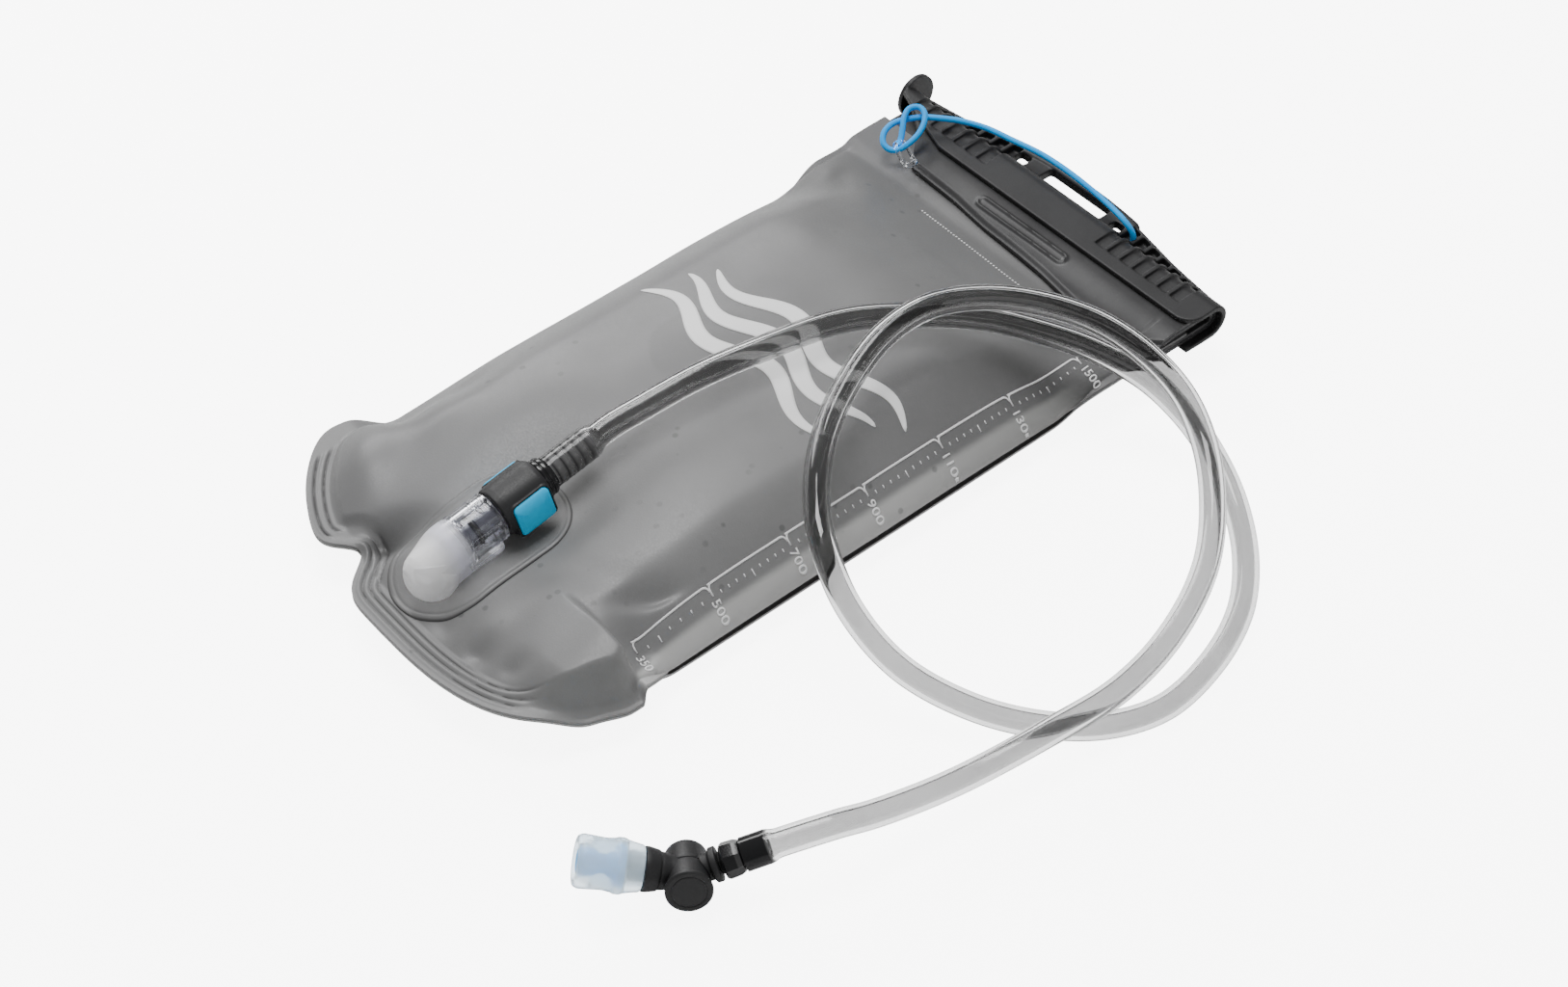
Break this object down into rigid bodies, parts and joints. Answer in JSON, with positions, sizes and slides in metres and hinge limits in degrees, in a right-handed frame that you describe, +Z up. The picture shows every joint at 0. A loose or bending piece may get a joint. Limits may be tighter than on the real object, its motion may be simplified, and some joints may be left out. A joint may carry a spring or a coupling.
{
  "type": "hydration bladder",
  "caption": "Flexible drinking reservoir with slide closure, tethered slider, quick-release hose port, coiled clear hose and angled bite valve with shut-off.",
  "frame": {"origin": "bottom centre of the bag and its slider, on the surface that the bag lies on", "axes": "+X along the closure towards the slider's open end, +Y along the bag from its rounded bottom to the closure, +Z up"},
  "size_m": [0.2919, 0.3639, 0.0643],
  "materials": {
    "film": "smoke grey translucent TPU film with a fine matte surface",
    "mouth_strip": "satin black TPU",
    "clear_plastic": "clear moulded plastic",
    "frosted_plastic": "frosted white moulded plastic",
    "blue_cord": "bright blue solid elastomer cord",
    "black_plastic": "fine-grained matte black moulding",
    "glossy_black_plastic": "polished black moulding",
    "blue_plastic": "satin bright blue moulding",
    "hose_plastic": "smoke grey clear TPU tube",
    "seal_rubber": "black seal rubber",
    "spring_steel": "stainless spring wire",
    "silicone": "translucent white food-grade silicone"
  },
  "bodies": {
    "bag": {"front_panel": "film", "back_panel": "film", "mouth_strip_front": "mouth_strip", "mouth_strip_back": "mouth_strip", "tether_tab": "clear_plastic", "tether": "blue_cord", "port_patch": "film", "port_housing": "clear_plastic", "port_seat": "frosted_plastic", "poppet_spring": "spring_steel"},
    "poppet": {"poppet": "frosted_plastic", "poppet_seal": "seal_rubber"},
    "slider": {"slider": "black_plastic"},
    "connector": {"connector_stem": "black_plastic", "front_oring": "seal_rubber", "rear_oring": "seal_rubber", "connector_shell": "black_plastic", "end_collar": "glossy_black_plastic", "hose": "hose_plastic", "valve_barb": "glossy_black_plastic", "swivel_oring": "seal_rubber"},
    "button_left": {"button_left": "blue_plastic"},
    "button_right": {"button_right": "blue_plastic"},
    "valve_elbow": {"valve_elbow": "black_plastic"},
    "mouthpiece": {"mouth_arm": "black_plastic", "shutoff_core": "frosted_plastic", "hub_cap": "black_plastic", "bite_seat": "blue_plastic", "bite_sheath": "silicone"}
  },
  "joints": [
    {"name": "slider_slide", "type": "slide", "parent": "bag", "child": "slider", "axis": [-1, 0, 0], "range_m": [0, 0.175], "deforming": ["tether"]},
    {"name": "hose_release", "type": "slide", "parent": "bag", "child": "connector", "axis": [0, 0.9848, 0.1736], "range_m": [0, 0.026]},
    {"name": "poppet_slide", "type": "slide", "parent": "bag", "child": "poppet", "axis": [0, 0.9848, 0.1736], "range_m": [0, 0.0019], "deforming": ["poppet_spring"]},
    {"name": "left_button", "type": "slide", "parent": "connector", "child": "button_left", "axis": [1, 0, 0], "range_m": [0, 0.0014], "stiffness_N_per_m": 600},
    {"name": "right_button", "type": "slide", "parent": "connector", "child": "button_right", "axis": [-1, 0, 0], "range_m": [0, 0.0014], "stiffness_N_per_m": 600},
    {"name": "valve_swivel", "type": "hinge", "parent": "connector", "child": "valve_elbow", "pos_m": [0.15664, -0.14873, 0.01343], "axis": [0.4838, 0.8212, 0.3027], "continuous": true},
    {"name": "valve_shutoff", "type": "hinge", "parent": "valve_elbow", "child": "mouthpiece", "pos_m": [0.151, -0.1583, 0.0099], "axis": [0.7767, -0.5622, 0.284], "range_deg": [-58, 32]}
  ],
  "couplings": [
    {"joint": "poppet_slide", "follows": "hose_release", "ratio": 0.073}
  ]
}
